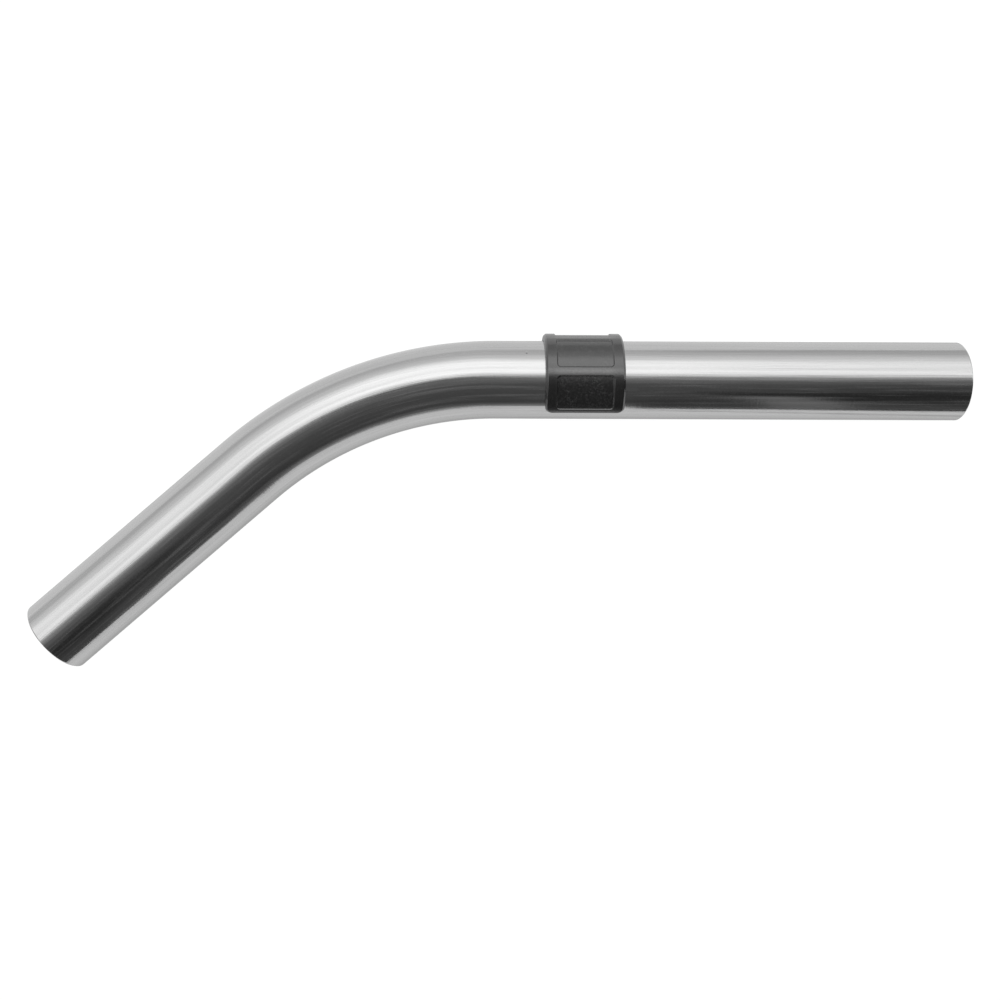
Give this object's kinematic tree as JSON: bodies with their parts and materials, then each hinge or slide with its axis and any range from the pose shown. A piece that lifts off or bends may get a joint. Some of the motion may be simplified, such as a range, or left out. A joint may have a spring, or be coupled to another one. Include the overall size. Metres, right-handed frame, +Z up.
{
  "type": "curved vacuum wand",
  "caption": "Bent stainless steel tube that joins a vacuum hose to its extension tubes, with a turning plastic clip collar that opens an air-bleed hole to ease the suction.",
  "frame": {"origin": "centre of the straight end's mouth, on the axis of the straight run", "axes": "+X out of the straight end along its axis; the bent leg runs to -X and -Y in the XY plane; +Z up as the wand lies on its side, square to the plane of the bend"},
  "size_m": [0.3798, 0.137, 0.038],
  "materials": {
    "stainless_steel": "satin, lightly brushed along the tube",
    "black_plastic": "fine moulded grain"
  },
  "bodies": {
    "tube": {"bent_tube": "stainless_steel"},
    "collar": {"airflow_collar": "black_plastic"}
  },
  "joints": [
    {"name": "collar_turn", "type": "hinge", "parent": "tube", "child": "collar", "pos_m": [-0.154, 0, 0], "axis": [1, 0, 0], "continuous": true}
  ]
}
